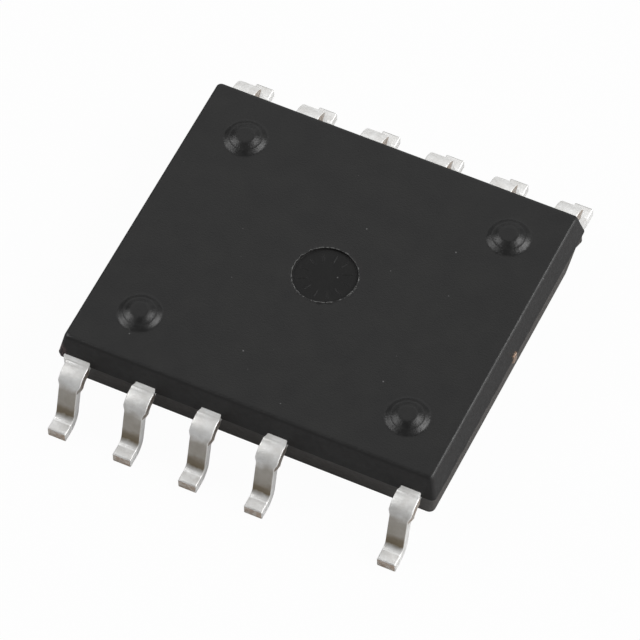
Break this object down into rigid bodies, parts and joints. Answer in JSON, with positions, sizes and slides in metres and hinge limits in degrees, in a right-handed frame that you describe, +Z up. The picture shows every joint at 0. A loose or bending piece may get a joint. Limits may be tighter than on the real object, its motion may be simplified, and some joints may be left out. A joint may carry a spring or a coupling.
{
  "type": "switching regulator",
  "caption": "Surface-mount switching regulator: a flat black moulded body with gull-wing leads on two sides and an exposed metal pad underneath.",
  "frame": {"origin": "on the seating plane under the feet, below the middle of the body", "axes": "+Z up from the board, +Y across the leads towards the full row of six, +X along the lead rows"},
  "size_m": [0.0102, 0.0116, 0.0022],
  "materials": {
    "mould_compound": "fine matt moulded epoxy",
    "tinned_copper": "satin matt tin plating",
    "silicon": "polished silicon",
    "solder": "dull solder",
    "bond_wire": "bright drawn copper"
  },
  "bodies": {
    "root": {"mould_body": "mould_compound", "source_frame": "tinned_copper", "die": "silicon", "die_attach": "solder", "lead_1": "tinned_copper", "lead_2": "tinned_copper", "lead_3": "tinned_copper", "lead_4": "tinned_copper", "lead_6": "tinned_copper", "wire_lead_1": "bond_wire", "wire_lead_2": "bond_wire", "wire_lead_3": "bond_wire", "wire_lead_4": "bond_wire", "wire_drain_1": "bond_wire", "wire_drain_2": "bond_wire", "wire_ground_1": "bond_wire", "wire_ground_2": "bond_wire"}
  },
  "joints": []
}
